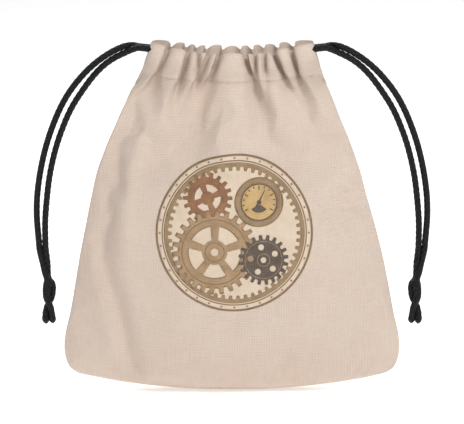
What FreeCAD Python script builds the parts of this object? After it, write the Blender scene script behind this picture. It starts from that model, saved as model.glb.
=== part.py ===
import FreeCAD, Part
import math
import os

# Drawstring dice bag: two canvas panels sewn into a pouch, a hemmed casing round the
# mouth, and two cord loops that leave the casing on opposite sides.
# Millimetres, +Z up. The origin is on the ground under the middle of the bag, and the
# printed front faces -Y.

Vec = FreeCAD.Vector

# ---- driving dimensions ----
CLOTH = 1.0              # canvas thickness
CORD_R = 1.3             # braided cord radius
THREAD = 0.35            # sewing thread thickness
GAP = 0.05               # air left between pieces that only touch
RUNNING = 0.3            # air left between pieces that slide past each other
MOUTH_HALF_W = 37.0      # half width of the gathered mouth
MOUTH_HALF_D = 3.2       # half depth of the gathered mouth
CASING_LOW = 141.0       # lower edge of the casing
CASING_TOP = 155.6       # rim of the bag
CASING_DEPTH = 7.4       # front-to-back thickness of one gathered casing
CASING_WALL = 0.8        # the casing's cloth, drawn thin by the gathers
HEM_INNER_X = 14.3       # where the sliding hems end, towards the middle
MID_CASING_X = 21.8      # half length of the part of the casing that stays in the middle
POUCH_TOP = 140.5        # top of the sewn pouch, just under the casing

# Stations of the filled pouch, from the ground up: height, half width, half depth.
POUCH = [
    (0.0, 30.0, 9.0),
    (2.5, 47.0, 13.0),
    (6.0, 60.0, 15.5),
    (10.0, 70.0, 17.5),
    (15.0, 73.8, 18.8),
    (20.0, 74.6, 19.4),
    (40.0, 71.4, 20.0),
    (65.0, 66.5, 19.0),
    (90.0, 60.2, 17.0),
    (110.0, 53.4, 14.5),
    (125.0, 46.8, 12.3),
    (134.0, 42.9, 11.0),
    (POUCH_TOP, 39.8, 10.4),
]
REACH = 100.0            # half size of the blocks that cut the pouch up
SLAB = 5.0               # half depth of the blocks that cut the thin seams up

# Left cord, from its exit at the mouth down to its knot: x and z of the middle of the
# two strands. The right cord is its mirror image.
CORD_PATH = [
    (-37.6, 152.0),
    (-43.0, 151.7),
    (-54.3, 147.0),
    (-65.3, 136.4),
    (-75.4, 119.0),
    (-81.8, 99.0),
    (-83.8, 78.0),
    (-83.2, 59.6),
]
STRAND_GAP = 0.15        # half the air between the strands above the knot
TUNNEL_Y = MOUTH_HALF_D + CASING_DEPTH / 2     # where a strand runs in its tunnel
LEFT_LOOP_Z = 149.2      # the two loops run at different heights, so that they can pass
RIGHT_LOOP_Z = 146.4
LOOP_TURN_R = 2.5        # corner radius where a loop turns round the far slit
LOOP_OVERHANG = 2.4      # how far a loop stands out of the far slit
LOOP_END_X = 1.5         # where the modelled stretch of a loop ends, past the middle

KNOT_X = -81.9
KNOT_Z = 45.5
KNOT_HALF_H = 5.7
KNOT_R = 2.9
KNOT_TOP_Z = 57.0        # where the strands above the knot start
TAIL_END_Z = 29.5
SEAL_R = 1.5

SEAM_ALLOWANCE = 6.0     # how far the overlocked side seams stand into the bag
SEAM_HALF_T = 0.9        # half thickness of the folded allowance
SEAM_CORNER_X = 50.0     # where the bottom seam ends and the side seams start
SEAM_CORNER_Z = 12.0
SEAM_STITCH_IN = 3.0     # how far the seam's stitching lies in from the cloth
STITCH_PITCH = 3.0
STITCH_LENGTH = 2.2
EMBLEM_R = 34.0
EMBLEM_X = 1.0
EMBLEM_Z = 73.0
INK = 0.25


# ---- helpers ----
def save(name, shape):
    shape.exportStep("parts/" + name + ".step")


def mirrored(shape):
    """The same shape on the right-hand side of the bag."""
    return shape.mirror(Vec(0, 0, 0), Vec(1, 0, 0))


def block(low, high):
    """A box between two corners."""
    size = [b - a for a, b in zip(low, high)]
    return Part.makeBox(size[0], size[1], size[2], Vec(*low))


def pouch_form(grow, floor=0.0, top=POUCH_TOP):
    """The pouch's outside, moved outwards by grow and standing between floor and top."""
    wires = []
    for height, half_w, half_d in POUCH:
        level = floor + (top - floor) * height / POUCH_TOP
        ellipse = Part.Ellipse(Vec(0, 0, level), half_w + grow, half_d + grow)
        wires.append(Part.Wire(ellipse.toShape()))
    straight_between = True
    return Part.makeLoft(wires, True, straight_between)


def pouch_size(height):
    """Half width and half depth of the pouch at a height, between two stations."""
    for (z0, w0, d0), (z1, w1, d1) in zip(POUCH, POUCH[1:]):
        if z0 <= height <= z1:
            part = (height - z0) / (z1 - z0)
            return w0 + part * (w1 - w0), d0 + part * (d1 - d0)
    return POUCH[-1][1:]


def rod(points, radius):
    """A round cord swept along a smooth curve through the points."""
    curve = Part.BSplineCurve()
    curve.interpolate([Vec(*p) for p in points])
    path = Part.Wire(curve.toShape())
    start = curve.value(curve.FirstParameter)
    along = curve.tangent(curve.FirstParameter)[0]
    ring = Part.Wire(Part.makeCircle(radius, start, along))
    return path.makePipeShell([ring], True, True)


# ---- pouch ----
def make_panels():
    """Front and back canvas panels: one sewn shell, parted at the side and bottom seams."""
    outer = pouch_form(0.0)
    hollow = pouch_form(-CLOTH, floor=CLOTH, top=POUCH_TOP + CLOTH)
    shell = outer.cut(hollow)
    front_half = block((-REACH, -REACH, -1), (REACH, -GAP, CASING_TOP))
    back_half = block((-REACH, GAP, -1), (REACH, REACH, CASING_TOP))
    return shell.common(front_half), shell.common(back_half)


def make_seams():
    """Overlocked allowances inside the bag, down both sides and along the bottom."""
    clear = CLOTH + 2 * GAP
    deep = CLOTH + SEAM_ALLOWANCE
    edge = pouch_form(-clear, floor=clear, top=POUCH_TOP + CLOTH)
    core = pouch_form(-deep, floor=deep, top=POUCH_TOP + CLOTH)
    slab = block((-REACH, -SEAM_HALF_T, 0), (REACH, SEAM_HALF_T, POUCH_TOP - CLOTH))
    web = edge.common(slab).cut(core)
    return split_corner(web, SEAM_CORNER_Z)


def split_corner(ring, corner_z):
    """The left side and the bottom of a ring that runs round the bag's seams."""
    bottom = ring.common(block((-SEAM_CORNER_X, -SLAB, 0), (SEAM_CORNER_X, SLAB, corner_z)))
    left = ring.common(block((-REACH, -SLAB, 0), (-SEAM_CORNER_X - GAP, SLAB, corner_z)))
    left = left.fuse(ring.common(block((-REACH, -SLAB, corner_z), (0, SLAB, CASING_TOP))))
    return left.removeSplitter(), bottom


def make_seam_threads():
    """The seam stitching, a line of thread on the allowance."""
    line_in = CLOTH + SEAM_STITCH_IN
    line_out = line_in + THREAD
    outer = pouch_form(-line_in, floor=line_in, top=POUCH_TOP + CLOTH)
    inner = pouch_form(-line_out, floor=line_out, top=POUCH_TOP + CLOTH)
    low_y = SEAM_HALF_T + GAP
    slab = block((-REACH, low_y, 0), (REACH, low_y + THREAD, POUCH_TOP - CLOTH))
    line = outer.common(slab).cut(inner)
    thread_corner_z = 20.0
    return split_corner(line, thread_corner_z)


def make_emblem():
    """The ink layer of the round print on the front panel."""
    skin = pouch_form(GAP + INK).cut(pouch_form(GAP))
    disc = Part.makeCylinder(EMBLEM_R, REACH, Vec(EMBLEM_X, 0, EMBLEM_Z), Vec(0, -1, 0))
    return skin.common(disc)


# ---- casing ----
def tunnel(x_low, x_high, inset):
    """A flattened cloth tube along X, inset from the casing's full size on all sides."""
    corner = 1.5

    def bar(shrink):
        low = (x_low, -MOUTH_HALF_D - CASING_DEPTH + shrink, CASING_LOW + shrink)
        high = (x_high, -MOUTH_HALF_D - shrink, CASING_TOP - shrink)
        body = block(low, high)
        long_edges = [e for e in body.Edges if abs(e.tangentAt(e.FirstParameter).x) > 0.9]
        return body.makeFillet(corner, long_edges)

    longer = bar(inset + CASING_WALL)
    past_end = Vec(1, 0, 0)
    hollow = longer.fuse(longer.translated(past_end)).fuse(longer.translated(-past_end))
    return bar(inset).cut(hollow)


def to_back(shape):
    """The same shape on the back of the bag."""
    return shape.mirror(Vec(0, 0, 0), Vec(0, 1, 0))


def make_casing_stitches():
    """A row of lockstitches along the top of the front panel, under the casing."""
    row_z = CASING_LOW - 2.0
    sunk = 0.1
    half_w, half_d = pouch_size(row_z)
    reach = MOUTH_HALF_W - STITCH_PITCH
    count = int(2 * reach / STITCH_PITCH) + 1
    stitches = []
    for i in range(count):
        x = -reach + i * STITCH_PITCH
        y = -half_d * math.sqrt(1 - (x / half_w) ** 2)
        slope = -half_d ** 2 * x / (half_w ** 2 * y)
        stitch = Part.makeBox(STITCH_LENGTH, THREAD, THREAD)
        stitch.translate(Vec(-STITCH_LENGTH / 2, -THREAD - 2 * GAP, -THREAD / 2))
        stitch.rotate(Vec(0, 0, 0), Vec(0, 0, 1), math.degrees(math.atan(slope)))
        stitch.translate(Vec(x, y - sunk, row_z))
        stitches.append(stitch)
    return Part.makeCompound(stitches)


def make_bar_tack():
    """The dense stitches that close the bottom of the slit where the cord comes out."""
    tack_x = -MOUTH_HALF_W + 0.5
    low_z = CASING_LOW + 0.2
    thick = 0.8
    half_y = MOUTH_HALF_D - GAP
    bars = []
    for i in range(4):
        x = tack_x + i * (thick + GAP)
        bars.append(block((x, -half_y, low_z), (x + thick, half_y, low_z + thick)))
    return Part.makeCompound(bars)


# ---- cords ----
def make_loop(level):
    """The far end of a cord: two strands in the tunnels, joined round the right-hand slit."""
    turn_x = MOUTH_HALF_W + LOOP_OVERHANG
    straight_x = turn_x - LOOP_TURN_R
    straight_y = TUNNEL_Y - LOOP_TURN_R
    diagonal = LOOP_TURN_R * math.sqrt(0.5)
    front_mid = Vec(straight_x + diagonal, -straight_y - diagonal, level)
    back_mid = Vec(straight_x + diagonal, straight_y + diagonal, level)
    start = Vec(-LOOP_END_X, -TUNNEL_Y, level)
    corners = [
        Vec(straight_x, -TUNNEL_Y, level),
        Vec(turn_x, -straight_y, level),
        Vec(turn_x, straight_y, level),
        Vec(straight_x, TUNNEL_Y, level),
    ]
    finish = Vec(-LOOP_END_X, TUNNEL_Y, level)
    edges = [
        Part.makeLine(start, corners[0]),
        Part.Arc(corners[0], front_mid, corners[1]).toShape(),
        Part.makeLine(corners[1], corners[2]),
        Part.Arc(corners[2], back_mid, corners[3]).toShape(),
        Part.makeLine(corners[3], finish),
    ]
    ring = Part.Wire(Part.makeCircle(CORD_R, start, Vec(1, 0, 0)))
    return Part.Wire(edges).makePipeShell([ring], True, True)


def make_neck():
    """The two strands where they leave the left-hand slit and draw together."""
    out_x, out_z = CORD_PATH[0]
    end_y = 3.4
    strands = []
    for side in (-1, 1):
        points = [
            (out_x, side * TUNNEL_Y, out_z),
            (out_x - 2.9, side * (TUNNEL_Y - 1.4), out_z),
            (out_x - 6.0, side * end_y, out_z - 0.4),
        ]
        strands.append(rod(points, CORD_R))
    return Part.makeCompound(strands)


def make_drop():
    """The hanging stretch: the strands start front and back, then run side by side."""
    curve = Part.BSplineCurve()
    curve.interpolate([Vec(x, 0, z) for x, z in CORD_PATH])
    neck_length = 8.5
    first = curve.parameterAtDistance(neck_length, curve.FirstParameter)
    last = curve.LastParameter
    steps = 14
    turn_share = 0.25
    wide = 2.6
    narrow = CORD_R + STRAND_GAP
    strands = []
    for side in (-1, 1):
        points = []
        for i in range(steps + 1):
            share = i / steps
            u = first + share * (last - first)
            here = curve.value(u)
            along = curve.tangent(u)[0]
            turn = math.radians(90) * min(1.0, share / turn_share)
            across = Vec(-along.z, 0, along.x) * math.sin(turn) + Vec(0, 1, 0) * math.cos(turn)
            spread = wide + (narrow - wide) * share
            point = here + across * (side * spread)
            points.append((point.x, point.y, point.z))
        strands.append(rod(points, CORD_R))
    return Part.makeCompound(strands)


def make_knot():
    """Both strands in one tight overhand knot, with the short necks above it."""
    stretch = FreeCAD.Matrix()
    stretch.scale(KNOT_R, KNOT_R, KNOT_HALF_H)
    knot = Part.makeSphere(1.0).transformGeometry(stretch)
    wrap_r = 1.9
    wrap_tilt = 18.0
    for lift, tilt in ((2.0, wrap_tilt), (-1.8, -wrap_tilt)):
        wrap = Part.makeTorus(wrap_r, CORD_R)
        wrap.rotate(Vec(0, 0, 0), Vec(0, 1, 0), tilt)
        wrap.translate(Vec(0, 0, lift))
        knot = knot.fuse(wrap)
    knot.translate(Vec(KNOT_X, 0, KNOT_Z))
    inside_z = KNOT_Z + KNOT_HALF_H - 2.5
    inside_half_x = 1.1
    for side in (-1, 1):
        low = (KNOT_X + side * inside_half_x, 0, inside_z)
        high = (CORD_PATH[-1][0] + side * (CORD_R + STRAND_GAP), 0, KNOT_TOP_Z)
        knot = knot.fuse(rod([low, high], CORD_R))
    return knot


def make_tails(knot):
    """The two cut ends below the knot, splayed apart, and their heat-sealed tips."""
    top_half_x = 0.9
    top_z = KNOT_Z - KNOT_HALF_H + 2.0
    end_x = KNOT_X + 0.4
    end_half_x = 2.4
    tails = []
    seals = []
    for side in (-1, 1):
        top = (KNOT_X + side * top_half_x, 0, top_z)
        low = (end_x + side * end_half_x, 0, TAIL_END_Z)
        direction = Vec(*low) - Vec(*top)
        length = direction.Length
        tail = Part.makeCylinder(CORD_R, length, Vec(*top), direction)
        for other in tails:
            tail = tail.cut(other)
        tails.append(tail.cut(knot))
        seals.append(Part.makeSphere(SEAL_R, Vec(*low), direction, 0, 90, 360))
    return Part.makeCompound(tails), Part.makeCompound(seals)


# ---- all the pieces ----
os.makedirs("parts", exist_ok=True)

front_panel, back_panel = make_panels()
save("front_panel", front_panel)
save("back_panel", back_panel)

side_seam, bottom_seam = make_seams()
save("left_side_seam", side_seam)
save("right_side_seam", mirrored(side_seam))
save("bottom_seam", bottom_seam)

side_thread, bottom_thread = make_seam_threads()
save("left_seam_thread", side_thread)
save("right_seam_thread", mirrored(side_thread))
save("bottom_seam_thread", bottom_thread)

save("printed_emblem", make_emblem())

middle_casing = tunnel(-MID_CASING_X, MID_CASING_X, CASING_WALL + RUNNING)
save("front_casing", middle_casing)
save("back_casing", to_back(middle_casing))

stitches = make_casing_stitches()
save("front_casing_stitch", stitches)
save("back_casing_stitch", to_back(stitches))

hem = tunnel(-MOUTH_HALF_W, -HEM_INNER_X, 0.0)
save("left_front_hem", hem)
save("left_back_hem", to_back(hem))
save("right_front_hem", mirrored(hem))
save("right_back_hem", mirrored(to_back(hem)))

tack = make_bar_tack()
save("left_bar_tack", tack)
save("right_bar_tack", mirrored(tack))

save("left_cord_loop", make_loop(LEFT_LOOP_Z))
save("right_cord_loop", mirrored(make_loop(RIGHT_LOOP_Z)))

neck = make_neck()
save("left_cord_neck", neck)
save("right_cord_neck", mirrored(neck))

drop = make_drop()
save("left_cord_drop", drop)
save("right_cord_drop", mirrored(drop))

knot = make_knot()
tails, seals = make_tails(knot)
save("left_knot", knot)
save("right_knot", mirrored(knot))
save("left_cord_tails", tails)
save("right_cord_tails", mirrored(tails))
save("left_cord_seals", seals)
save("right_cord_seals", mirrored(seals))
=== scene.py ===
"""Drawstring dice bag: the cloth, cords and print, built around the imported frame.

Shapes are worked out in millimetres and scaled to metres when a mesh is made.
"""

import functools
import math

import bmesh
import bpy
import numpy as np
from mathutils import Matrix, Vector, noise
from mathutils.bvhtree import BVHTree
from mathutils.geometry import tessellate_polygon


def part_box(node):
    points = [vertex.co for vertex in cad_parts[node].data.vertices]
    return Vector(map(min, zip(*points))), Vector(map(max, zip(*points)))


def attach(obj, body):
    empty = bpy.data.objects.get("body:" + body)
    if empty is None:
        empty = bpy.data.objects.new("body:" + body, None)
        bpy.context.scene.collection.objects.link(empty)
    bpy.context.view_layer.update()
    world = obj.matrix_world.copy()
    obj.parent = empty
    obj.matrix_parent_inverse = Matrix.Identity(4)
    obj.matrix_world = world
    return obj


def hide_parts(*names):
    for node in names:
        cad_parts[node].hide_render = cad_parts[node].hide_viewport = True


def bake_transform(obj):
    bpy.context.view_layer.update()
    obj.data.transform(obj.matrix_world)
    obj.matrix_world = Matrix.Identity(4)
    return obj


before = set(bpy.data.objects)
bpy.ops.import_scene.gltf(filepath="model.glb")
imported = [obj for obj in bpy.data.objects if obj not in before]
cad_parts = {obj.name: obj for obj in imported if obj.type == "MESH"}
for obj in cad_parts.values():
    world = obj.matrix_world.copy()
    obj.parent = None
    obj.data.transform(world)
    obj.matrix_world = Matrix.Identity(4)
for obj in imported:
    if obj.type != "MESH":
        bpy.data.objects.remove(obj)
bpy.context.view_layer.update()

MM = 0.001
SIDES = (("left", -1), ("right", 1))

# ---- sizes from the frame, in mm
hem_low, hem_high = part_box("left_front_hem")
SEAM_TOP = hem_low.z / MM  # the casing's stitch line
RIM_Z = hem_high.z / MM  # the top of the gathered casing
emblem_low, emblem_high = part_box("printed_emblem")
EMBLEM_X = (emblem_low.x + emblem_high.x) / 2 / MM
EMBLEM_Z = (emblem_low.z + emblem_high.z) / 2 / MM

# ---- the pouch, in mm
COLUMNS = 110  # cells across one panel
TURN_ROWS = 12  # rows that turn from the bottom seam into the wall
WALL_ROWS = 60  # rows from there up to the stitch line
CASING_ROWS = 9
RIM_ROWS = 4
TURN_H = 18.0  # the wall is upright from here up
CORNER_LIFT = 7.0  # the bottom corners stand off the ground
CANVAS = 0.6  # thickness of the cloth
FRONT, BACK = -1, 1
PANELS = (("front", FRONT), ("back", BACK))
SEAM_SAG = {FRONT: 3.0, BACK: 2.6}  # how far the stitch line sags between the slits
RIM_SAG = {FRONT: 5.2, BACK: 2.8}
# Half width of the bag at heights up its side edge.
SIDE_EDGE = [
    (7, 68.6), (8.6, 71.6), (11.5, 73.6), (15, 74.6), (20, 74.9), (36, 71.9), (62, 67),
    (89, 60.5), (98, 58.2), (107, 55), (123, 48.2), (134, 43.4), (141, 39.6),
    (148, 36.9), (156, 34.8),
]
# The bag leans a little to one side: sideways shift at heights.
DRIFT = [
    (0, 0), (50, -0.2), (70, -0.7), (88, -1.4), (110, -1.3), (130, -0.9), (141, -0.2),
    (156, 0.2),
]
# How far the middle of a panel stands out at heights.
DEPTH = [
    (0, 15), (18, 16.6), (45, 17.6), (70, 16.8), (95, 14.6), (115, 12.2), (130, 10.2),
    (141, 8.8), (156, 7.8),
]
PLEAT_TOP = 152.0  # where a pleat has its first x
PLEAT_REF = 135.0  # where it has its second
# Pleats: x at the rim, x lower down, height where they have faded out, depth at the casing,
# and how fast they widen downwards.
FRONT_PLEATS = [
    (-27, -34.5, 94, 7.6, 0.34), (-18, -22.2, 116, 6.6, 0.20), (-14, -14.2, 132, 4.4, 0.16),
    (-9, -14.8, 88, 8, 0.28), (-4.6, -9.8, 92, 9, 0.26), (4.6, 9, 88, 9, 0.28),
    (9.3, 9.9, 129, 5.2, 0.16), (13.6, 14.6, 140, 4.2, 0.16), (17.4, 24, 114, 7.4, 0.22),
    (25.2, 29.6, 92, 7.2, 0.28),
]
BACK_PLEATS = [
    (-26, -31, 100, 5.2, 0.30), (-19.5, -25, 122, 4.6, 0.20), (-14.8, -17, 130, 3.8, 0.16),
    (-10.2, -13.5, 98, 5.4, 0.28), (-3, -5, 110, 5.2, 0.22), (2.8, 5.4, 126, 4.4, 0.18),
    (8, 12, 96, 5.6, 0.28), (13.2, 16, 132, 3.6, 0.16), (19.6, 26.5, 110, 5.2, 0.22),
    (26.4, 32.5, 100, 5.2, 0.30),
]
# Broad soft folds in the wall: where they run as (height, x) stations, depth and half width.
FRONT_FOLDS = [
    ([(0, -41), (17, -44), (40, -50), (62, -54.5), (80, -53.5), (110, -49), (124, -45), (135, -41)],
     3.6, 5),
    ([(80, -46), (110, -41), (124, -37.5), (138, -34.5)], -2.2, 3.8),
    ([(0, -26), (110, -20)], -1, 9),
    ([(0, 19), (110, 16)], 0.8, 9),
    ([(0, 46), (110, 38)], -0.9, 9),
]
BACK_FOLDS = [
    ([(0, -40), (60, -46), (110, -36)], 2, 7),
    ([(0, -8), (110, -6)], -0.8, 10),
    ([(0, 30), (60, 37), (110, 26)], 1.8, 7.5),
    ([(0, 52), (110, 42)], -0.7, 8),
]
RUFFLE = 0.42  # small unevenness of the gathered cloth


def ease(t):
    """0 to 1 smoothly, flat at both ends."""
    t = np.clip(t, 0.0, 1.0)
    return t * t * (3 - 2 * t)


def through(stations, at):
    """A smooth curve through (position, value) stations."""
    xs = np.array([s[0] for s in stations])
    ys = np.array([s[1] for s in stations])
    slopes = np.gradient(ys, xs)
    at = np.clip(at, xs[0], xs[-1])
    i = np.clip(np.searchsorted(xs, at) - 1, 0, len(xs) - 2)
    step = xs[i + 1] - xs[i]
    t = (at - xs[i]) / step
    a = (1 + 2 * t) * (1 - t) ** 2
    b = t * (1 - t) ** 2
    c = t * t * (3 - 2 * t)
    d = t * t * (t - 1)
    return a * ys[i] + b * step * slopes[i] + c * ys[i + 1] + d * step * slopes[i + 1]


def pleat_centre(x_rim, x_ref, z):
    """Where a pleat runs at height z: it leans outwards a little faster the lower it is."""
    down = (PLEAT_TOP - z) / (PLEAT_TOP - PLEAT_REF)
    return x_rim + (x_ref - x_rim) * np.sign(down) * np.abs(down) ** 1.1


def pleat_depth(x, z, pleats):
    """How far the pleats push the cloth towards the middle of the bag at (x, z)."""
    push = np.zeros_like(x)
    for x_rim, x_ref, fade_z, depth, spread in pleats:
        width = 0.95 + spread * np.clip(SEAM_TOP - z, 0, None)
        strength = ease((z - fade_z) / (SEAM_TOP + 6 - fade_z)) ** 0.5
        push += depth * strength * np.exp(-(((x - pleat_centre(x_rim, x_ref, z)) / width) ** 2))
    return push


def tube_height(x, z, half, pleats):
    """How far the cloth rounds outwards between neighbouring pleats."""
    lines = [pleat_centre(x_rim, x_ref, z) for x_rim, x_ref, *_ in pleats]
    lines = [-half + 0 * x] + lines + [half + 0 * x]
    rise = np.zeros_like(x)
    for left, right in zip(lines[:-1], lines[1:]):
        gap = np.maximum(right - left, 1.0)
        t = np.clip((x - left) / gap, 0, 1)
        inside = (x >= left) & (x < right)
        rise = np.where(inside, np.minimum(2.8, 0.36 * gap) * (4 * t * (1 - t)) ** 0.7, rise)
    return rise * ease((z - 112.0) / 34.0)


def fold_depth(x, z, folds):
    """Broad folds of the wall, fading towards the casing and the ground."""
    push = np.zeros_like(x)
    for path, depth, width in folds:
        centre = through(path, z)
        strength = ease(z / 16.0) * (1 - ease((z - 118.0) / 24.0)) * ease((z - path[0][0]) / 30.0 + 1)
        push += depth * strength * np.exp(-(((x - centre) / width) ** 2))
    return push


def bottom_line(share):
    """Height of the bottom seam at a share of the half width: it curves up to the corners."""
    return CORNER_LIFT * np.minimum(np.abs(share), 1.0) ** 2.2


def row_height(s, height, side):
    """Height along a row: raised at the bottom corners, sagging between the slits."""
    sag = SEAM_SAG[side]
    share = height / SEAM_TOP
    if share < 1:
        return bottom_line(s) * (1 - share) + height - sag * (1 - s * s) * ease((share - 0.75) / 0.25)
    rise = (height - SEAM_TOP) / (RIM_Z - SEAM_TOP)
    return height - (sag + (RIM_SAG[side] - sag) * rise) * (1 - s * s)


def inner_cloth(y, push, rise):
    """The casing's inner cloth: smoother than the outer one, with room between them for the cords."""
    room = 3.0 * math.sin(math.pi * min(1.0, max(0.0, rise)) ** 0.8)
    eased = y + 0.45 * push - 1.0 - room
    return np.minimum(np.maximum(eased, 0.5), y - 0.9)


def spaced_evenly(x, y, z):
    """The points of a row, evenly spaced along the cloth, and the cloth's length in it."""
    length = np.concatenate([[0], np.cumsum(np.hypot(np.diff(x), np.diff(y)))])
    even = np.linspace(0, length[-1], COLUMNS + 1)
    return [np.interp(even, length, a) for a in (x, y, z)], length[-1]


def row_line(height, bulge, side, layer):
    """One row of a panel, evenly spaced along the cloth, and the cloth's length in it.

    bulge is 0 at the bottom seam and 1 once the wall is upright. layer is 0 on the outer
    cloth of the casing and 1 on its inner cloth.
    """
    pleats, folds = (FRONT_PLEATS, FRONT_FOLDS) if side == FRONT else (BACK_PLEATS, BACK_FOLDS)
    in_casing = height >= SEAM_TOP
    edge_z = height if in_casing else CORNER_LIFT + height * (1 - CORNER_LIFT / SEAM_TOP)
    half = through(SIDE_EDGE, edge_z)
    s = np.linspace(-1, 1, 1601)
    x = half * s + through(DRIFT, height)
    z = row_height(s, height, side)
    rise = (height - SEAM_TOP) / (RIM_Z - SEAM_TOP)
    lens = through(DEPTH, height) * bulge * (1 - s * s) ** 0.8
    slit = ease((height - SEAM_TOP + 2) / 9.0)  # 0 where the side seam holds, 1 above it
    casing = 5.2 + 2.6 * (1 - s * s)
    y = lens * (1 - slit) + casing * slit
    edge_fade = ease((1 - np.abs(s)) / 0.16) * (1 - slit) + slit
    tubes = tube_height(x, z, half, pleats)
    push = pleat_depth(x, z, pleats) + fold_depth(x, z, folds) - tubes
    most = np.maximum(0.9 * y, 0.01)  # the cloth stops short of the other panel
    push = most * np.tanh(push * edge_fade * ease(bulge) / most)
    y = y - push
    if in_casing:
        z = z - (0.9 + 0.22 * pleat_depth(x, z, pleats) - 0.35 * tubes) * rise
    if layer > 0:
        y = y + layer * (inner_cloth(y, push, rise) - y)
    lean = 0.22 * pleat_depth(x, z, pleats) * np.sign(x) * edge_fade
    x = x + lean * ease((height - 112.0) / 25.0)
    line, length = spaced_evenly(x, y, z)
    line[1] = line[1] * side
    return np.stack(line, axis=1), length


def panel_rows(side):
    """Every row of a panel, from the bottom seam up over the rim and down the casing's inside."""
    rows = []
    rim_start = RIM_Z - 1.2
    for i in range(TURN_ROWS):
        angle = math.pi / 2 * i / TURN_ROWS
        rows.append((TURN_H * (1 - math.cos(angle)), math.sin(angle), 0))
    for i in range(WALL_ROWS):
        rows.append((TURN_H + (SEAM_TOP - TURN_H) * i / WALL_ROWS, 1.0, 0))
    casing = [SEAM_TOP + (rim_start - SEAM_TOP) * i / CASING_ROWS for i in range(CASING_ROWS)]
    rows += [(height, 1.0, 0) for height in casing]
    for i in range(RIM_ROWS + 1):
        turn = math.pi * i / RIM_ROWS
        rows.append((rim_start + 0.9 * math.sin(turn), 1.0, (1 - math.cos(turn)) / 2))
    rows += [(height, 1.0, 1.0) for height in reversed(casing)]
    return [row_line(height, bulge, side, layer) for height, bulge, layer in rows]


def new_object(name, verts, faces, smooth=True):
    """A mesh object from vertices in mm."""
    mesh = bpy.data.meshes.new(name)
    mesh.from_pydata((np.asarray(verts) * MM).tolist(), [], [tuple(f) for f in faces])
    mesh.update()
    if smooth:
        mesh.polygons.foreach_set("use_smooth", [True] * len(mesh.polygons))
    obj = bpy.data.objects.new(name, mesh)
    bpy.context.scene.collection.objects.link(obj)
    return obj


def lay_flat(obj, places):
    """Each face corner's place on the cloth's flat pattern, in mm, as the object's UVs."""
    layer = obj.data.uv_layers.new(name="flat")
    layer.data.foreach_set("uv", np.array(places).ravel())


def closed_sheet(name, outer, inner, faces, places):
    """A thin closed solid between two layers of points, with the points' places on the flat pattern."""
    count = len(outer)
    edges = {}
    for face in faces:
        for a, b in zip(face, [*face[1:], face[0]]):
            edges.setdefault((min(a, b), max(a, b)), []).append((a, b))
    solid = [tuple(f) for f in faces] + [tuple(i + count for i in f[::-1]) for f in faces]
    solid += [(b, a, a + count, b + count) for ((a, b), *more) in edges.values() if not more]
    piece = new_object(name, np.concatenate([outer, inner]), solid)
    lay_flat(piece, [places[loop.vertex_index % count] for loop in piece.data.loops])
    return piece


def dress(piece, material, slot, *nodes):
    """Give a piece its material, and hide the frame's pieces that it stands for. slot is not used."""
    piece.data.materials.append(material)
    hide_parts(*nodes)
    return piece


def build_sheet():
    """Both panels as one sewn sheet, with the cloth's own flat pattern, in mm, as its UVs."""
    verts = []
    flat = []
    faces = []
    cols = COLUMNS + 1
    for side in (FRONT, BACK):
        rows = panel_rows(side)
        base = len(verts)
        run = 0.0
        before = None
        for points, width in rows:
            if before is not None:
                run += float(np.linalg.norm(points - before, axis=1).mean())
            before = points
            across = np.linspace(-0.5, 0.5, cols) * width
            verts.extend(points)
            flat.extend((u, side * (run + 1.0)) for u in across)
        for r in range(len(rows) - 1):
            for c in range(COLUMNS):
                a = base + r * cols + c
                quad = (a, a + 1, a + 1 + cols, a + cols)
                faces.append(quad if side == FRONT else quad[::-1])
    obj = new_object("pouch_sheet", verts, faces)
    lay_flat(obj, [flat[loop.vertex_index] for loop in obj.data.loops])
    apply_modifier(obj, "WELD", merge_threshold=0.01 * MM)
    return obj


def apply_modifier(obj, kind, **settings):
    modifier = obj.modifiers.new(kind.lower(), kind)
    set_all(modifier, settings)
    bpy.context.view_layer.objects.active = obj
    bpy.ops.object.modifier_apply(modifier=modifier.name)


def set_all(target, settings):
    for name, value in settings.items():
        setattr(target, name, value)


def coords(mesh):
    values = np.empty(len(mesh.vertices) * 3)
    mesh.vertices.foreach_get("co", values)
    return values.reshape(-1, 3)


SIM_SCALE = 10.0  # the solver behaves better at ten times the size
SIM_FRAMES = 22
SIM_REACH = 5.0 * MM  # the furthest that a point may move
CLOTH = {
    "quality": 5, "mass": 0.15, "tension_stiffness": 14, "compression_stiffness": 14,
    "shear_stiffness": 5, "bending_stiffness": 2.5, "air_damping": 2, "vertex_group_mass": "hold",
    "pin_stiffness": 1.0, "use_pressure": True, "uniform_pressure_force": 0.2,
    "shrink_min": -0.016, "shrink_max": -0.016,  # a little too much cloth, so that it creases
}


def hold_weights(points):
    """How firmly each point is held in the simulation, and how much of its move is kept."""
    z = points[:, 2]
    at_side = np.abs(points[:, 0]) / through(SIDE_EDGE, z)
    near_seam = 0.7 * ease((at_side - 0.93) / 0.05)
    near_base = 0.95 * ease((7.0 + bottom_line(at_side) - z) / 6.0)
    near_casing = ease((z - 128.0) / 16.0)
    hold = np.maximum.reduce([near_seam, near_base, 0.06 + 0.94 * near_casing])
    return hold, 1 - np.maximum.reduce([near_seam, near_base, near_casing])


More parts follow.
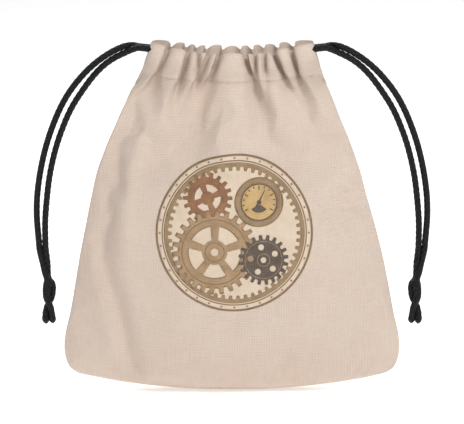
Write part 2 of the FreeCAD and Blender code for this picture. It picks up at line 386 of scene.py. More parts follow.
def relax_cloth(obj):
    """Cloth simulation of the filled pouch: the casing is held, the wall finds its own creases."""
    start = coords(obj.data)
    obj.data.vertices.foreach_set("co", (start * SIM_SCALE).ravel())
    hold, loose = hold_weights(start / MM)
    group = obj.vertex_groups.new(name="hold")
    for i, weight in enumerate(hold):
        group.add([i], float(weight), "REPLACE")
    modifier = obj.modifiers.new("cloth", "CLOTH")
    set_all(modifier.settings, CLOTH)
    modifier.settings.effector_weights.gravity = 0.0
    modifier.collision_settings.use_collision = False
    modifier.point_cache.frame_start = 1
    modifier.point_cache.frame_end = SIM_FRAMES
    for number in range(1, SIM_FRAMES + 1):
        bpy.context.scene.frame_set(number)
    evaluated = obj.evaluated_get(bpy.context.evaluated_depsgraph_get())
    move = coords(evaluated.to_mesh()) / SIM_SCALE - start
    evaluated.to_mesh_clear()
    obj.modifiers.remove(modifier)
    size = np.linalg.norm(move, axis=1)
    share = np.minimum(1.0, SIM_REACH / np.maximum(size, 1e-9))
    end = start + move * (share * loose)[:, None]
    end[:, 2] = np.maximum(end[:, 2], 0.0)
    obj.data.vertices.foreach_set("co", end.ravel())
    obj.data.update()
    bpy.context.scene.frame_set(1)


def sheet_data(obj):
    """Vertices in mm, normals, faces, and each face corner's place on the flat pattern."""
    mesh = obj.data
    normals = np.array([v.normal[:] for v in mesh.vertices])
    corners = np.empty(len(mesh.loops), int)
    mesh.loops.foreach_get("vertex_index", corners)
    flat = np.empty(len(mesh.loops) * 2)
    mesh.uv_layers["flat"].data.foreach_get("uv", flat)
    return coords(mesh) / MM, normals, corners.reshape(-1, 4), flat.reshape(-1, 4, 2)


def cloth_thickness(verts, normals, quads, surface):
    """The canvas' thickness at each vertex: less where a tight fold leaves no room for all of it."""
    start = 0.03
    thickness = np.full(len(verts), CANVAS)
    for i, (place, normal) in enumerate(zip(verts, normals)):
        inward = -Vector(normal)
        distance = surface.ray_cast(Vector(place) + inward * start, inward, 2.5 * CANVAS)[3]
        if distance is not None:
            thickness[i] = min(CANVAS, 0.38 * (distance + start))
    thinnest = np.repeat(thickness[quads].min(axis=1), 4)
    np.minimum.at(thickness, quads.ravel(), thinnest)
    return thickness


def cloth_piece(name, data, thickness, chosen):
    """The chosen faces of the sheet as a closed piece of canvas with its real thickness."""
    verts, normals, quads, flat = data
    used, local = np.unique(quads[chosen], return_inverse=True)
    local = local.reshape(-1, 4)
    outer = verts[used]
    inner = outer - normals[used] * thickness[used][:, None]
    places = np.empty((len(used), 2))
    places[local] = flat[chosen]
    obj = closed_sheet(name, outer, inner, local.tolist(), places)
    vertex_normals = np.concatenate([normals[used], -normals[used]])
    obj.data.normals_split_custom_set_from_vertices(vertex_normals.tolist())
    return obj


def gather_blend(obj, side_name, sign):
    """Bake the piece's placement into its mesh."""
    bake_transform(obj)


def ruffle_cloth(sheet):
    """Small puckers where the cloth is gathered, and a slight unevenness everywhere."""
    mesh = sheet.data
    moved = [vertex.co.copy() for vertex in mesh.vertices]
    for vertex, co in zip(mesh.vertices, moved):
        x, y, z = vertex.co / MM
        if z < 3.0:
            continue
        near = 0.25 + 0.75 * float(ease((z - 112.0) / 26.0))
        pucker = noise.noise(Vector((x / 5.0, y / 7.0, z / 6.5)))
        pucker += 0.5 * noise.noise(Vector((x / 2.4, y / 5.0, z / 3.6 + 20)))
        co += vertex.normal * (RUFFLE * near * pucker * MM)
    mesh.vertices.foreach_set("co", np.array(moved).ravel())
    mesh.update()


def pinch_seams(sheet, seam):
    """The two panels meet in a shallow groove along their seams."""
    groove = 0.55 * MM
    for index in np.flatnonzero(seam):
        vertex = sheet.data.vertices[index]
        inward = Vector((-vertex.co.x, 0, 0.07 - vertex.co.z)).normalized()
        vertex.co += inward * groove
    sheet.data.update()


# ---- canvas pieces
def make_pouch():
    """The four quarters of the pouch. Returns its surface and the line of its seam."""
    sheet = build_sheet()
    at_rest = coords(sheet.data) / MM
    seam = (np.abs(at_rest[:, 1]) < 0.001) & (at_rest[:, 2] < SEAM_TOP - 2)
    relax_cloth(sheet)
    ruffle_cloth(sheet)
    seam_line = coords(sheet.data)[seam] / MM
    pinch_seams(sheet, seam)
    apply_modifier(sheet, "SUBSURF", levels=1, render_levels=1)
    data = sheet_data(sheet)
    bpy.data.objects.remove(sheet)
    verts, normals, quads, flat = data
    surface = BVHTree.FromPolygons(verts.tolist(), quads.tolist())
    thickness = cloth_thickness(verts, normals, quads, surface)
    centre = flat.mean(axis=1)
    for panel, side in PANELS:
        for side_name, sign in SIDES:
            chosen = (centre[:, 0] * sign > 0) & (centre[:, 1] * side > 0)
            piece = cloth_piece(f"{panel}_canvas_{side_name}", data, thickness, chosen)
            dress(piece, canvas_material(), "canvas", panel + "_panel", panel + "_casing",
                  f"{side_name}_{panel}_hem")
            gather_blend(piece, side_name, sign)
    return surface, seam_line


# ---- threads
BRAID_PITCH = 2.6  # length of one diamond of the braid
BRAID_STRANDS = 5  # diamonds round the cord
BRAID_RELIEF = 0.09


def running(line):
    """The distance run along a line at each of its points."""
    return np.concatenate([[0], np.cumsum(np.linalg.norm(np.diff(line, axis=0), axis=1))])


def directions(line):
    """Which way a line runs at each of its points."""
    along = np.gradient(line, axis=0)
    return along / np.linalg.norm(along, axis=1)[:, None]


def even_path(points, step):
    """A smooth path through the points, as evenly spaced samples, and the distance run to each."""
    points = np.asarray(points, float)
    place = running(points)
    fine = np.linspace(0, place[-1], max(8, int(place[-1] / step * 4)))
    line = np.stack([through(list(zip(place, points[:, k])), fine) for k in range(3)], axis=1)
    length = running(line)
    even = np.linspace(0, length[-1], max(3, int(round(length[-1] / step)) + 1))
    return np.stack([np.interp(even, length, line[:, k]) for k in range(3)], axis=1), even


def path_frames(line):
    """Two directions across the path at each sample, carried along it without twist."""
    along = directions(line)
    first = np.cross(along[0], (0.3, 1.0, 0.2))
    first /= np.linalg.norm(first)
    across = [first]
    for direction in along[1:]:
        turned = across[-1] - direction * np.dot(across[-1], direction)
        across.append(turned / np.linalg.norm(turned))
    across = np.array(across)
    return across, np.cross(along, across)


def tube_rings(points, radius, step, segments, braid=False, swell=None):
    """Rings of points round a path, its centre line, and the distance run along it."""
    line, run = even_path(points, step)
    across, up = path_frames(line)
    angle = np.arange(segments) / segments * 2 * math.pi
    size = np.full((len(line), segments), radius)
    if swell is not None:
        size *= swell(run, run[-1])[:, None]
    if braid:
        twist = 2 * math.pi * run[:, None] / BRAID_PITCH
        left = np.cos(BRAID_STRANDS * angle[None, :] + twist)
        right = np.cos(BRAID_STRANDS * angle[None, :] - twist)
        size *= 1 + BRAID_RELIEF * (np.maximum(left, right) - 0.4)
    ring = across[:, None, :] * np.cos(angle)[None, :, None] + up[:, None, :] * np.sin(angle)[None, :, None]
    return line[:, None, :] + ring * size[:, :, None], line, run


def tube_data(rings, line, run):
    """Vertices, faces and UVs of a round cord through the rings, closed at both ends."""
    count, segments = rings.shape[:2]
    verts = np.concatenate([rings.reshape(-1, 3), line[:1], line[-1:]])
    faces = []
    uvs = []
    tip = count * segments
    last = (count - 1) * segments
    for k in range(segments):
        n = (k + 1) % segments
        v0, v1 = k / segments, (k + 1) / segments
        for r in range(count - 1):
            low, high = r * segments, (r + 1) * segments
            faces.append((low + k, low + n, high + n, high + k))
            uvs.append(((run[r], v0), (run[r], v1), (run[r + 1], v1), (run[r + 1], v0)))
        faces.append((tip, n, k))
        uvs.append(((run[0], v0), (run[0], v1), (run[0], v0)))
        faces.append((tip + 1, last + k, last + n))
        uvs.append(((run[-1], v0), (run[-1], v0), (run[-1], v1)))
    return verts, faces, uvs


def thread_tube(points, radius=0.13):
    """A short run of sewing thread."""
    return tube_data(*tube_rings(points, radius, 0.3, 6))


def join_tubes(name, tubes):
    """Several tubes as one mesh object."""
    verts = []
    faces = []
    uvs = []
    for tube_verts, tube_faces, tube_uvs in tubes:
        base = len(verts)
        verts.extend(tube_verts)
        faces.extend(tuple(i + base for i in face) for face in tube_faces)
        uvs.extend(tube_uvs)
    obj = new_object(name, verts, faces)
    lay_flat(obj, [uv for face in uvs for uv in face])
    return obj


def sew(name, tubes, node):
    """Tubes of sewing thread as one piece."""
    return dress(join_tubes(name, tubes), thread_material(), "seam_thread", node)


STITCH = 2.3  # length of one stitch
STITCH_GAP = 0.7
LADDER_PITCH = 3.2  # between the stitches across a side seam
TACK_PITCH = 0.36
WEB_IN = 1.2  # the allowance starts this far inside the seam
WEB_HALF = 0.75 * CANVAS  # half its thickness: two layers, pressed


def on_surface(surface, x, z, side):
    """The point and normal of the cloth seen from the front (side -1) or back at (x, z)."""
    hit, normal, _, _ = surface.ray_cast(Vector((x, side * 60.0, z)), Vector((0, -side, 0)))
    if hit is None:
        return None
    if normal.y * side < 0:
        normal = -normal
    return np.array(hit), np.array(normal)


def stitch_row(surface, side, sign):
    """Lockstitches along the casing's lower edge, on one half of one panel."""
    half = through(SIDE_EDGE, SEAM_TOP)
    line = []
    for x in np.arange(0.2, half - 3.5, 0.12):
        z = SEAM_TOP - 0.4 - SEAM_SAG[side] * (1 - (x / half) ** 2)
        found = on_surface(surface, sign * x, z, side)
        if found is not None:
            line.append(found[0] + found[1] * 0.12)
    line = np.array(line)
    run = running(line)
    tubes = []
    for at in np.arange(0.3, run[-1] - STITCH, STITCH + STITCH_GAP):
        inside = (run >= at) & (run <= at + STITCH)
        if inside.sum() > 3 and np.diff(run[inside]).max() < 0.6:
            tubes.append(thread_tube(line[inside]))
    return tubes


def make_stitches(surface):
    for panel, side in PANELS:
        for side_name, sign in SIDES:
            tubes = stitch_row(surface, side, sign)
            piece = sew(f"{panel}_casing_stitches_{side_name}", tubes, panel + "_casing_stitch")
            gather_blend(piece, side_name, sign)


def side_points(surface, sign, ys, z, slope=0.0):
    """The pouch's side seen along X at each y, or None where it has no cloth."""
    points = []
    for y in ys:
        hit = surface.ray_cast(Vector((sign * 120.0, y, z + slope * y)), Vector((-sign, 0, 0)))[0]
        if hit is None:
            return None
        points.append(hit)
    return np.array(points)


def make_seam_ladders(surface):
    """Short stitches that show in the groove of the side seams, and the bar tacks above them."""
    for side_name, sign in SIDES:
        outward = np.array((sign, 0, 0))
        ladder = []
        for z in np.arange(16.0, SEAM_TOP - 5, LADDER_PITCH):
            points = side_points(surface, sign, (-0.5, 0.0, 0.5), z, 0.25)
            if points is not None:
                ladder.append(thread_tube(points - outward * 0.06, 0.12))
        tack = []
        for i in range(6):
            z = SEAM_TOP - 4.6 + i * TACK_PITCH
            points = side_points(surface, sign, (-1.5, -0.8, 0.0, 0.8, 1.5), z)
            if points is not None and np.ptp(points[:, 0]) < 1.6:
                tack.append(thread_tube(points + outward * 0.12, 0.2))
        for piece in (sew(f"side_seam_stitches_{side_name}", ladder, side_name + "_seam_thread"),
                      sew(f"slit_bar_tack_{side_name}", tack, side_name + "_bar_tack")):
            gather_blend(piece, side_name, sign)


CORNER_TOP = 20.0  # the seam above this height belongs to the sides of the bag
BOTTOM_HALF = 66.0  # half the length of the bottom seam
SEAM_OVERLAP = 8.0  # how far the right side's seam runs on along the bottom


def seam_runs(seam_line):
    """The seam's points in order: the left side upwards, the bottom, and the right side upwards."""
    x, z = seam_line[:, 0], seam_line[:, 2]
    high = z > CORNER_TOP
    runs = (
        ((x < -BOTTOM_HALF) | high & (x < 0), z),
        (~high & (np.abs(x) <= BOTTOM_HALF), x),
        ((x > BOTTOM_HALF - SEAM_OVERLAP) | high & (x > 0), z),
    )
    return [seam_line[chosen][np.argsort(order[chosen])] for chosen, order in runs]


ALLOWANCE_LEAST = 2.0
ALLOWANCE_MOST = 5.2
ALLOWANCE_STEP = 0.4


def allowance_depths(surface, line, inward):
    """How deep the allowance reaches into the bag at each point, where the cloth leaves it room."""
    room = CANVAS + 0.9
    depths = []
    for point, direction in zip(line, inward):
        depth = ALLOWANCE_LEAST
        while depth < ALLOWANCE_MOST:
            x, _, z = point + direction * (depth + 0.3)
            found = [on_surface(surface, x, z, side) for side in (FRONT, BACK)]
            if any(f is None or abs(f[0][1]) < room for f in found):
                break
            depth += ALLOWANCE_STEP
        depths.append(depth)
    depths = np.array(depths)
    low = [depths[max(0, i - 2):i + 3].min() for i in range(len(depths))]
    return np.convolve(np.pad(low, 2, mode="edge"), np.ones(5) / 5, mode="valid")


def seam_frame(points):
    """An even line along a seam, and the direction into the bag at each of its points."""
    line, _ = even_path(points[::2], 1.5)
    line[:, 1] = 0.0
    inward = np.cross(directions(line), (0, 1, 0))
    halfway = len(line) // 2
    if np.dot(inward[halfway], (0, 0, 70.0) - line[halfway]) < 0:
        inward = -inward
    return line, inward


def make_web(name, line, inward, depth):
    """The two pressed layers of canvas inside a seam."""
    outer = line + inward * WEB_IN
    inner = line + inward * depth[:, None]
    half = np.array((0, WEB_HALF, 0))
    count = len(line)
    verts = np.concatenate([outer - half, inner - half, inner + half, outer + half])
    faces = []
    for i in range(count - 1):
        for a, b in ((0, 1), (1, 2), (2, 3), (3, 0)):
            faces.append((a * count + i, b * count + i, b * count + i + 1, a * count + i + 1))
    ends = [[k * count + i for k in range(4)] for i in (0, count - 1)]
    faces += [ends[0], ends[1][::-1]]
    web = new_object(f"{name}_allowance", verts, faces, smooth=False)
    corners = [verts[loop.vertex_index] for loop in web.data.loops]
    lay_flat(web, [(x + z, y * 2 + z) for x, y, z in corners])
    return dress(web, canvas_material(), "canvas", name + "_seam")


def make_allowances(surface, seam_line):
    """The overlocked seam allowances inside the bag, with their zigzag thread."""
    left, low, right = seam_runs(seam_line)
    runs = (("left_side", left, SIDES[0]), ("bottom", low, None), ("right_side", right, SIDES[1]))
    for name, points, side in runs:
        line, inward = seam_frame(points)
        depth = allowance_depths(surface, line, inward)
        zigzag = []
        for i in range(len(line) - 1):
            at = depth[i] + 0.1 if i % 2 else 0.55 * depth[i]
            zigzag.append(line[i] + inward[i] * at + (0, -WEB_HALF - 0.1, 0))
        node = (side[0] if side else name) + "_seam_thread"
        thread = sew(f"{name}_overlock_thread", [thread_tube(zigzag, 0.14)], node)
        for piece in (make_web(name, line, inward, depth), thread):
            if side:
                gather_blend(piece, *side)
            else:
                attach(piece, "bag")


# ---- cords, in mm, left side
CORD_R = 1.36
CORD_STEP = 0.26  # between the rings of its mesh
CORD_SEGMENTS = 30
# Middle of the two strands, from inside the casing to just above the knot: x, z.
CORD_LINE = [
    (-31, 150.6), (-37, 151.7), (-43, 152), (-49.7, 149.7), (-55.5, 146.2), (-60.7, 141.7),
    (-65.3, 136.4), (-70.8, 128.5), (-77, 115), (-81.7, 98), (-83.9, 79), (-83.5, 62),
]
# Each strand through the knot and down its tail: x, y, z. The first passes in front.
OUTER_END = [
    (-83.3, -0.1, 56), (-82.5, -0.9, 52.6), (-81.6, -1.4, 49.7), (-82.1, -1.2, 46.6),
    (-82.25, -1.2, 43.6), (-81.9, -1.5, 41), (-80.8, -1.3, 38.8), (-80.05, -0.7, 36.2),
    (-79.75, -0.1, 33), (-79.3, 0, 29.6),
]
INNER_END = [
    (-81.4, 0.1, 56), (-81.4, 0.9, 52.6), (-81.2, 1.4, 49.7), (-79.4, 0.7, 47.1),
    (-79.3, 0.3, 43.8), (-79.9, 0.9, 41), (-81.1, 1.2, 38.8), (-82.2, 0.7, 36.2),
    (-82.6, 0.1, 33), (-82.3, 0, 29.4),
]
KNOT_MIDDLE = (-80.7, 44.6)
# Where the cord passes from one piece to the next.
CORD_START_X = -32.5
NECK_CUT_X = -44.0
DROP_CUT_Z = 66.0
KNOT_CUT_Z = 52.0
TAIL_CUT_Z = 38.4
TIP = 1.1
# Stretches over which the cord passes from one moving body to the next: x and z of both ends.
SLIT_BEND = (-36.5, 151.7), (-42.5, 151.7)
HANG_BEND = (-44.5, 151.5), (-84.0, 67.0)
KNOT_BEND = (-83.2, 62.0), (-83.2, 54.0)
# Half of the cord's turn from the front casing into the back one, at the far slit: x, y, z.
FAR_TURN = [(-33.2, -1.75, 147.2), (-34.4, -1.5, 147.1), (-35.2, -0.8, 147.0), (-35.5, 0.0, 146.9)]


def strand_points(which):
    """One strand of the left cord, from the casing to its tip. which is -1 (front) or 1 (back)."""
    line, run = even_path([(x, 0.0, z) for x, z in CORD_LINE], 2.0)
    x, z = line[:, 0], line[:, 2]
    along = directions(line)
    in_plane = np.stack([along[:, 2], np.zeros(len(line)), -along[:, 0]], axis=1)
    # The pair leaves the casing one behind the other and turns to hang side by side.
    turn = ease((run - 9.0) / 10.0)[:, None] * math.pi / 2
    across = np.array((0.0, 1.0, 0.0)) * np.cos(turn) + in_plane * np.sin(turn)
    apart = 1.42 + 0.75 * ease((run - 22.0) / 25.0) - 0.8 * ease((88.0 - z) / 26.0) * ease(run / 60.0)
    apart += 2.5 * ease((x + 46.0) / 9.0) + 2.0 * ease((x + 36.6) / 3.4)
    points = line + across * (which * apart)[:, None]
    points = points[(points[:, 0] < CORD_START_X) & (points[:, 2] > 63.0)]
    return np.concatenate([points, OUTER_END if which > 0 else INNER_END])


def tail_swell(run, total):
    """The cut end frays a little, then closes to its melted tip."""
    left = total - run
    fat = 1 + 0.14 * np.exp(-(((left - 2.6) / 1.6) ** 2))
    closing = np.sqrt(np.clip(left / 1.3, 0.02, 1.0))
    return fat * closing


def knot_ring():
    """The turn of cord that the overhand knot pulls round itself."""
    x, z = KNOT_MIDDLE
    angle = np.linspace(0, 2 * math.pi, 17) + 1.9
    return np.stack([x + 0.75 * np.sin(angle + 0.6), 1.55 * np.sin(angle), z + 3.6 * np.cos(angle)], axis=1)


def cut(tube, chosen):
    """The stretch of a cord where chosen holds, with one ring of overlap at its end."""
    index = np.flatnonzero(chosen)
    stretch = slice(index[0], index[-1] + 2)
    return tube_data(*(part[stretch] for part in tube))


def mirror_x(tubes, sign):
    """Left-hand tubes as they are, or turned into right-hand ones."""
    if sign < 0:
        return tubes
    flipped = []
    for verts, faces, uvs in tubes:
        verts = verts * np.array((-1.0, 1.0, 1.0))
        flipped.append((verts, [f[::-1] for f in faces], [u[::-1] for u in uvs]))
    return flipped


def braided(points, swell=None):
    return tube_rings(points, CORD_R, CORD_STEP, CORD_SEGMENTS, braid=True, swell=swell)


def cord_piece(name, tubes, sign, node):
    return dress(join_tubes(name, mirror_x(tubes, sign)), cord_material(), "cord", node)


def make_cord(side, sign):
    """One cord: its two strands, cut where it bends at a joint, with its knot and tails."""
    groups = {"neck": [], "drop": [], "end": [], "knot": [], "tails": [], "tips": []}
    for which in (FRONT, BACK):
        tube = braided(strand_points(which), tail_swell)
        _, line, run = tube
        x, z = line[:, 0], line[:, 2]
        outside = x < NECK_CUT_X
        tip = run > run[-1] - TIP
        groups["neck"].append(cut(tube, ~outside & (z > 120)))
        groups["drop"].append(cut(tube, outside & (z > DROP_CUT_Z)))
        groups["end"].append(cut(tube, outside & (z <= DROP_CUT_Z) & (z > KNOT_CUT_Z)))
        groups["knot"].append(cut(tube, (z <= KNOT_CUT_Z) & (z > TAIL_CUT_Z)))
        groups["tails"].append(cut(tube, (z <= TAIL_CUT_Z) & ~tip))
        groups["tips"].append(cut(tube, tip))
    rings, line, run = tube_rings(knot_ring(), CORD_R * 0.97, CORD_STEP, CORD_SEGMENTS, braid=True)
    groups["knot"].append(tube_data(rings, line, run))
    hem, upper, lower, end = (f"{side}_{body}" for body in ("hem", "upper", "lower", "knot_end"))
    for group, name, node, bodies, bend in (
            ("neck", "cord_exit", "cord_neck", (hem, upper), SLIT_BEND),
            ("drop", "cord_strands", "cord_drop", (upper, lower), HANG_BEND),
            ("end", "cord_above_knot", "knot", (lower, end), KNOT_BEND)):
        piece = cord_piece(f"{side}_{name}", groups[group], sign, f"{side}_{node}")
        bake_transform(piece)
    knot = cord_piece(f"{side}_overhand_knot", groups["knot"], sign, f"{side}_knot")
    tails = cord_piece(f"{side}_tails", groups["tails"], sign, f"{side}_cord_tails")
    tips = join_tubes(f"{side}_melted_tips", mirror_x(groups["tips"], sign))
    dress(tips, tip_material(), "cord_tip", f"{side}_cord_seals")
    for piece in (knot, tails, tips):
        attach(piece, end)
    turn = FAR_TURN + [(x, -y, z) for x, y, z in FAR_TURN[-2::-1]]
    loop = cord_piece(f"{side}_cord_far_turn", [tube_data(*braided(turn))], -sign, f"{side}_cord_loop")
    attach(loop, f"{side}_loop")


# ---- print, in mm about its middle
PRINT_EDGE = 34.4
PRINT_CELL = 1.6
INK_THICKNESS = 0.035


def at_angle(x, z, r, a):
    return x + r * math.cos(a), z + r * math.sin(a)


def circle(x, z, r, steps=64):
    return [at_angle(x, z, r, 2 * math.pi * i / steps) for i in range(steps)]


def band(x, z, r_out, r_in, steps=64):
    """A round line, as its outline and its hole."""
    return [circle(x, z, r_out, steps), circle(x, z, r_in, steps)]


def dots(x, z, spread, r, count, steps=20, phase=0.0):
    """A ring of dots, spread being how far they lie from the middle."""
    angles = [2 * math.pi * i / count + phase for i in range(count)]
    return [circle(*at_angle(x, z, spread, a), r, steps) for a in angles]


def gear(x, z, root, tip, teeth, phase=0.0):
    """The outline of a gear with flat-topped teeth."""
    pitch = 2 * math.pi / teeth
    corners = ((-0.30, root), (-0.19, tip), (0.19, tip), (0.30, root), (0.5, root))
    return [at_angle(x, z, r, phase + pitch * (i + share)) for i in range(teeth) for share, r in corners]


def window(x, z, r_in, r_out, a0, a1, steps=8):
    """An opening between two spokes, a little narrower at the hub."""
    slim = 0.12 * (a1 - a0)
    outer = [at_angle(x, z, r_out, a0 + (a1 - a0) * i / steps) for i in range(steps + 1)]
    inner = [at_angle(x, z, r_in, a0 + slim + (a1 - a0 - 2 * slim) * i / steps) for i in range(steps + 1)]
    return outer + inner[::-1]


def windows(x, z, r_in, r_out, count, spoke, phase=0.0):
    """Openings between a wheel's spokes; spoke is a spoke's share of the pitch."""
    pitch = 2 * math.pi / count
    return [
        window(x, z, r_in, r_out, phase + pitch * (i + spoke / 2), phase + pitch * (i + 1 - spoke / 2))
        for i in range(count)
    ]


def bar(x0, z0, x1, z1, w0, w1):
    """A straight tapered stroke."""
    dx, dz = x1 - x0, z1 - z0
    n = math.hypot(dx, dz)
    px, pz = -dz / n / 2, dx / n / 2
    return [(x0 + px * w0, z0 + pz * w0), (x1 + px * w1, z1 + pz * w1),
            (x1 - px * w1, z1 - pz * w1), (x0 - px * w0, z0 - pz * w0)]


def print_layers():
    """Every ink layer of the round clockwork print: name, ink, lift, and shapes with their holes."""
    middle = (0, 0)
    big = (-8.5, -8.0)
    dark = (12.6, -11.6)
    small = (-11.5, 15.4)
    dial = (10.6, 13.4)
    marks = [(math.radians(210 - 20 * i), 5.4 if i % 3 == 0 else 6.2) for i in range(13)]
    return [
        ("ground", "light", 0.09, [[circle(*middle, 33.2, 96)]]),
        ("rings", "line", 0.13, [band(*middle, 34.0, 33.1, 120), band(*middle, 31.4, 30.9, 120)]),
        ("toothed_ring", "bronze", 0.13, [[circle(*middle, 30.5, 120), gear(*middle, 28.6, 27.0, 54)]]),
        ("rivets", "bronze", 0.13, [[dot] for dot in dots(*middle, 32.25, 0.45, 36, 12)]),
        ("small_wheel_edge", "line", 0.13, [[gear(*small, 8.7, 10.7, 18), circle(*small, 5.6)]]),
        ("small_wheel", "copper", 0.17, [
            [gear(*small, 8.2, 10.2, 18)] + windows(*small, 2.9, 6.2, 4, 0.3, 0.4),
        ]),
        ("big_wheel_edge", "line", 0.17, [[gear(*big, 15.9, 18.5, 26, 0.05), circle(*big, 11.2)]]),
        ("big_wheel", "tan", 0.21, [
            [gear(*big, 15.4, 17.9, 26, 0.05)] + windows(*big, 5.4, 11.6, 5, 0.26, 0.3)
            + [circle(*big, 1.7, 24)],
        ]),
        ("big_wheel_lines", "line", 0.25, [band(*big, 14.3, 13.9, 96), band(*big, 4.3, 3.9)]),
        ("dark_wheel", "dark", 0.25, [
            [gear(*dark, 8.9, 10.9, 20, 0.13)] + dots(*dark, 5.6, 1.35, 5, phase=0.5)
            + [circle(*dark, 1.3, 20)],
        ]),
        ("dark_wheel_lines", "bronze", 0.29, [band(*dark, 8.2, 7.9, 72), band(*dark, 2.9, 2.55)]),
        ("dial_edge", "line", 0.21, [band(*dial, 10.6, 7.2, 80)]),
        ("dial_ring", "bronze", 0.25, [band(*dial, 10.1, 8.3, 80)]),
        ("dial_face", "dial", 0.25, [[circle(*dial, 7.8, 72)]]),
        ("dial_marks", "dark", 0.29, [
            [bar(*at_angle(*dial, r, a), *at_angle(*dial, 7.1, a), 0.45, 0.45)] for a, r in marks
        ] + [
            [window(*dial, 1.2, 4.4, math.radians(222), math.radians(318), 12)],
            band(*dial, 7.8, 7.45, 80),
        ]),
        ("dial_needle", "dark", 0.33, [
            [bar(dial[0] - 1.2, dial[1] - 1.9, dial[0] + 2.6, dial[1] + 5.3, 0.9, 0.25)],
            [circle(*dial, 1.0, 20)],
        ]),
    ]


def ink_mesh(shapes):
    """The filled shapes of one ink, cut into small cells so that they can follow the cloth."""
    mesh = bmesh.new()
    for loops in shapes:
        polylines = [[Vector((x, z, 0)) for x, z in loop] for loop in loops]
        verts = [mesh.verts.new(point) for line in polylines for point in line]
        for triangle in tessellate_polygon(polylines):
            if len(set(triangle)) == 3:
                try:
                    mesh.faces.new([verts[i] for i in triangle])
                except ValueError:  # the same triangle twice
                    pass
    for across in (Vector((1, 0, 0)), Vector((0, 1, 0))):
        for at in np.arange(-PRINT_EDGE, PRINT_EDGE + 0.1, PRINT_CELL):
            bmesh.ops.bisect_plane(mesh, geom=mesh.verts[:] + mesh.edges[:] + mesh.faces[:],
                                   dist=1e-5, plane_co=across * at, plane_no=across)
    bmesh.ops.delete(mesh, geom=[v for v in mesh.verts if not v.link_faces], context="VERTS")
    mesh.verts.ensure_lookup_table()
    mesh.verts.index_update()
    return mesh


def make_print(surface):
    """The printed wheels, laid on the cloth as thin layers of ink."""
    for name, ink, lift, shapes in print_layers():
        mesh = ink_mesh(shapes)
        flat = [(v.co.x + EMBLEM_X, v.co.y + EMBLEM_Z) for v in mesh.verts]
        orders = [([v.index for v in f.verts], f.normal.z > 0) for f in mesh.faces]
        faces = [order if up else order[::-1] for order, up in orders]
        mesh.free()
        cloth = [on_surface(surface, x, z, FRONT) for x, z in flat]
        outer = [point + normal * lift for point, normal in cloth]
        inner = [point + normal * (lift - INK_THICKNESS) for point, normal in cloth]
        piece = closed_sheet("print_" + name, outer, inner, faces, flat)
        dress(piece, ink_material(ink), "print_ink", "printed_emblem")
        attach(piece, "bag")


# ---- materials
WEAVE_PITCH = 0.72  # from one thread of the cloth to the next


class Graph:
    """A small helper for wiring a material's nodes."""

    def __init__(self, name):
        self.material = bpy.data.materials.new(name)
        self.material.use_nodes = True
        self.tree = self.material.node_tree
        self.shader = self.tree.nodes["Principled BSDF"]

    def node(self, kind, inputs=None, **settings):
        made = self.tree.nodes.new("ShaderNode" + kind)
        set_all(made, settings)
        for key, value in (inputs or {}).items():
            self.feed(made.inputs[key], value)
        return made

    def feed(self, socket, value):
        if isinstance(value, bpy.types.NodeSocket):
            self.tree.links.new(value, socket)
        else:
            socket.default_value = value

    def finish(self, **inputs):
        """Feed the shader's inputs, named with underscores for spaces, and return the material."""
        for name, value in inputs.items():
            self.feed(self.shader.inputs[name.replace("_", " ")], value)
        return self.material

    def math(self, operation, a, b=0.0, clamp=False):
        return self.node("Math", {0: a, 1: b}, operation=operation, use_clamp=clamp).outputs[0]

    def times(self, a, b, clamp=False):
        return self.math("MULTIPLY", a, b, clamp)

    def plus(self, a, b, clamp=False):
        return self.math("ADD", a, b, clamp)

    def minus(self, a, b):
        return self.math("SUBTRACT", a, b)

    def parts(self, vector):
        return self.node("SeparateXYZ", {0: vector}).outputs

    def noise(self, vector, scale, detail=3.0, roughness=0.5):
        inputs = {"Vector": vector, "Scale": scale, "Detail": detail, "Roughness": roughness}
        return self.node("TexNoise", inputs).outputs["Fac"]

    def stretch(self, vector, x, y):
        return self.node("VectorMath", {0: vector, 1: (x, y, 1.0)}, operation="MULTIPLY").outputs[0]

    def mix(self, share, a, b):
        made = self.node("Mix", data_type="RGBA")
        for name, value in (("Factor", share), ("A", a), ("B", b)):
            self.feed(made.inputs[name], value)
        return made.outputs["Result"]

    def bump(self, height, distance, strength=1.0, normal=None):
        made = self.node("Bump", {"Height": height, "Distance": distance, "Strength": strength})
        if normal is not None:
            self.feed(made.inputs["Normal"], normal)
        return made.outputs[0]

    def flat_mm(self):
        return self.node("UVMap", uv_map="flat").outputs[0]

    def weave(self, flat):
        """Height of a plain weave: 0 in the gaps, 1 on the crowns of the threads."""
        shift = self.times(self.noise(self.stretch(flat, 0.35, 0.35), 1.0, 2.0), 0.5)
        u, v, _ = self.parts(flat)
        cos_u, cos_v = (
            self.math("COSINE", self.times(self.plus(way, shift), math.pi / WEAVE_PITCH)) for way in (u, v))
        over = self.plus(self.times(self.times(cos_u, cos_v), 0.5), 0.5)
        warp = self.times(self.times(cos_u, cos_u), over)
        weft = self.times(self.times(cos_v, cos_v), self.minus(1.0, over))
        return self.math("MAXIMUM", warp, weft)


CANVAS_LIGHT = (0.76, 0.645, 0.56, 1)
CANVAS_DARK = (0.55, 0.42, 0.33, 1)
FLECK = (0.32, 0.22, 0.13, 1)


